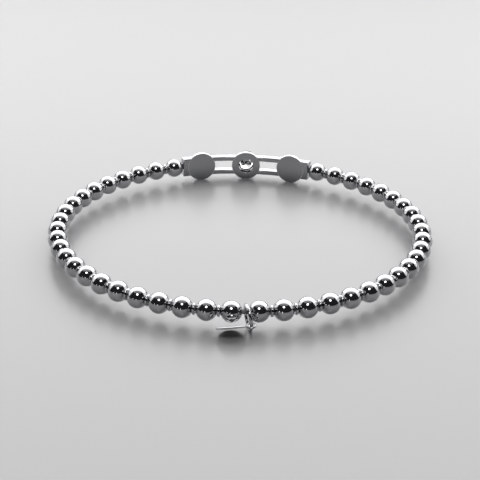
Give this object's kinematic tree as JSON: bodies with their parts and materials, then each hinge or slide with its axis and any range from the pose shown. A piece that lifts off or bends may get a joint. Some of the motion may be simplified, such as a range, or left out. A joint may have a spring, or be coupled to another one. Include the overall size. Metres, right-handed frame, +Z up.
{
  "type": "stretch bracelet",
  "caption": "Stretch bracelet of round polished metal beads on an elastic cord, with a curved station of round drums that holds a clear stone, and a plain round tag on a jump ring.",
  "frame": {"origin": "On the surface the bracelet lies on, below the middle of its whole outline. The ring of beads is centred 1.5 mm from it, towards the station.", "axes": "+Z up from the surface, the bracelet lying flat. +Y from the tag towards the station. +X to the right when the station is looked at across the loop from the tag's side."},
  "size_m": [0.058, 0.0606, 0.0048],
  "materials": {
    "bead_metal": "mirror-polished white metal",
    "station_metal": "mirror-polished white metal",
    "ring_metal": "polished white metal wire",
    "tag_metal": "polished white metal sheet, bare",
    "stone": "clear faceted crystal"
  },
  "bodies": {
    "root": {"bead_run_right_1": "bead_metal", "bead_run_right_2": "bead_metal", "bead_run_right_3": "bead_metal", "bead_run_right_4": "bead_metal", "bead_run_right_5": "bead_metal", "bead_run_left_1": "bead_metal", "bead_run_left_2": "bead_metal", "bead_run_left_3": "bead_metal", "bead_run_left_4": "bead_metal", "bead_run_left_5": "bead_metal", "station_frame": "station_metal", "centre_stone": "stone", "jump_ring": "ring_metal", "tag": "tag_metal"}
  },
  "joints": []
}
